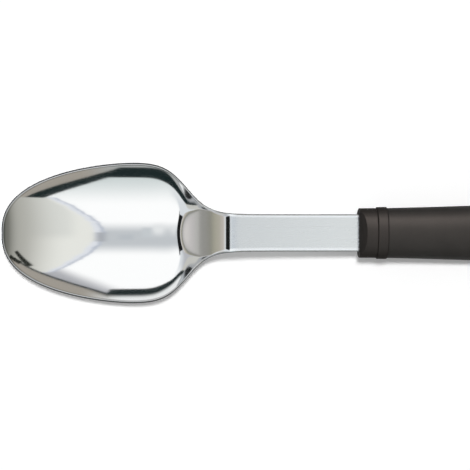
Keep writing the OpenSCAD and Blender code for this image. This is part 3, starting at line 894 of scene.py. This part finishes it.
            layers.append(([(past, -0.4, 0.6), (out, stop - 1, stop), (x, 2, 12)], warm))
        return layers

    def marks(self, tree, chart):
        """The camera and its arm, a lit patch, the border's shaded tip, and the legs of a
        lamp stand against the wall: direction, middle along and across it, half sizes
        and softness."""
        layers = []
        for (cos, sin), along, across, half_l, half_w, soft, paint in (
            ((1, 0), -12, -0.5, 5.5, 6, 2.5, "#CDD2D6"), ((1, 0), 1.7, 5.5, 2.8, 3.5, 1.5, "#C2C7CC"),
            ((1, 0), -25.5, -4, 8, 6, 6, "#EEF0F1"), ((1, 0), 9.6, 5, 1.2, 6, 1.2, "#AFB2B8"),
            ((0.49, -0.872), -10.3, 45, 10.2, 1.45, 0.5, "#20241F"),
            ((0.768, -0.64), 10.5, 49.8, 7, 1.6, 0.5, "#20241F"),
        ):
            masks, sides = [], (((cos, sin, 0), along, half_l), ((-sin, cos, 0), across, half_w))
            for direction, middle, half in sides:
                run = add(tree, VECTOR, {0: chart, 1: direction}, operation="DOT_PRODUCT").outputs["Value"]
                run = add(tree, MATH, {0: run, 1: middle}, operation="SUBTRACT")
                run = add(tree, MATH, {0: run}, operation="ABSOLUTE")
                run = add(tree, MATH, {0: run, 1: -1}, operation="MULTIPLY")
                masks.append((run, -half - soft, soft - half))
            layers.append((masks, paint))
        return layers

    def card(self):
        """A glowing card painted with bands of shade, a painted reflection that only the neck sees, 55 mm
        in front of the bowl's tip.
        """
        x, half_w, low, high = TIP_X - 55 * MM, 25 * MM, 20 * MM, 60 * MM
        card = block("card", (x - MM, -half_w, low), (x, half_w, high))
        material, tree = blank("painted_reflection_card")
        where = add(tree, COORD).outputs["Object"]
        rise = add(tree, SPLIT, {0: where}).outputs[2]
        # Its painted shades by height in millimetres
        rise = add(tree, MATH, {0: rise, 1: MM}, operation="DIVIDE")
        colour = painted(tree, linear("#D8D4D1"), [([(rise, start, end)], paint) for start, end, paint in (
            (25, 26.5, "#C6C2C2"), (27, 29.5, "#BAB9B6"), (30.6, 31.5, "#959490"), (34, 37, "#8B8A81"),
            (37.3, 38.3, "#A5A393"), (38.5, 41, "#B0AC9F"), (42, 45, "#BFB8B1"), (48, 55, "#D5D4D2"),
        )])
        # The card glows with these painted shades, though it is no lamp
        glow = add(tree, "ShaderNodeEmission", {"Color": colour})
        add(tree, "ShaderNodeOutputMaterial", {"Surface": glow})
        card.data.materials.append(material)
        card.visible_camera = card.visible_diffuse = card.visible_shadow = False

    def camera(self, st):
        """A long lens straight overhead, so that a pixel is as large all along the spoon."""
        lens = bpy.data.cameras.new("camera")
        lens.lens, lens.sensor_width, lens.clip_end = st.lens, SENSOR_MM, 20
        away = FRAME_PX * st.pixel * st.lens / SENSOR_MM
        camera = bpy.data.objects.new("camera", lens)
        camera.location = (TIP_X + AIM_X_PX * st.pixel, AIM_Y_PX * st.pixel, SCALE_Z + away)
        bpy.context.scene.collection.objects.link(camera)
        bpy.context.scene.camera = camera


class SPOON_PT_panel(bpy.types.Panel):
    """Lists the spoon's builders and sizes"""

    bl_label = "Serving spoon"
    bl_idname = "SPOON_PT_panel"
    bl_space_type = "VIEW_3D"
    bl_region_type = "UI"
    bl_category = "Spoon"

    def draw(self, context):
        for maker, group in OPERATORS:
            self.layout.operator(maker.bl_idname)
            sizes = getattr(context.scene, group, None) if group else None
            for name in getattr(type(sizes), "__annotations__", {}) if sizes else ():
                self.layout.prop(sizes, name)


GROUPS = {"spoon_blade": SPOON_PG_blade, "spoon_handle": SPOON_PG_handle, "spoon_studio": SPOON_PG_studio}
OPERATORS = (
    (SPOON_OT_stage, "spoon_studio"), (SPOON_OT_blade, "spoon_blade"),
    (SPOON_OT_handle, "spoon_handle"), (SPOON_OT_inside, ""),
)


def register():
    for kind in (*GROUPS.values(), *(maker for maker, _ in OPERATORS), SPOON_PT_panel):
        bpy.utils.register_class(kind)
    for name, kind in GROUPS.items():
        setattr(bpy.types.Scene, name, PointerProperty(type=kind))


def unregister():
    for name in GROUPS:
        delattr(bpy.types.Scene, name)
    for kind in (SPOON_PT_panel, *(maker for maker, _ in OPERATORS), *GROUPS.values()):
        bpy.utils.unregister_class(kind)


def main():
    register()
    for name in ("stage", "blade", "handle", "inside"):
        getattr(bpy.ops.spoon, name)()


if __name__ == "__main__":
    main()
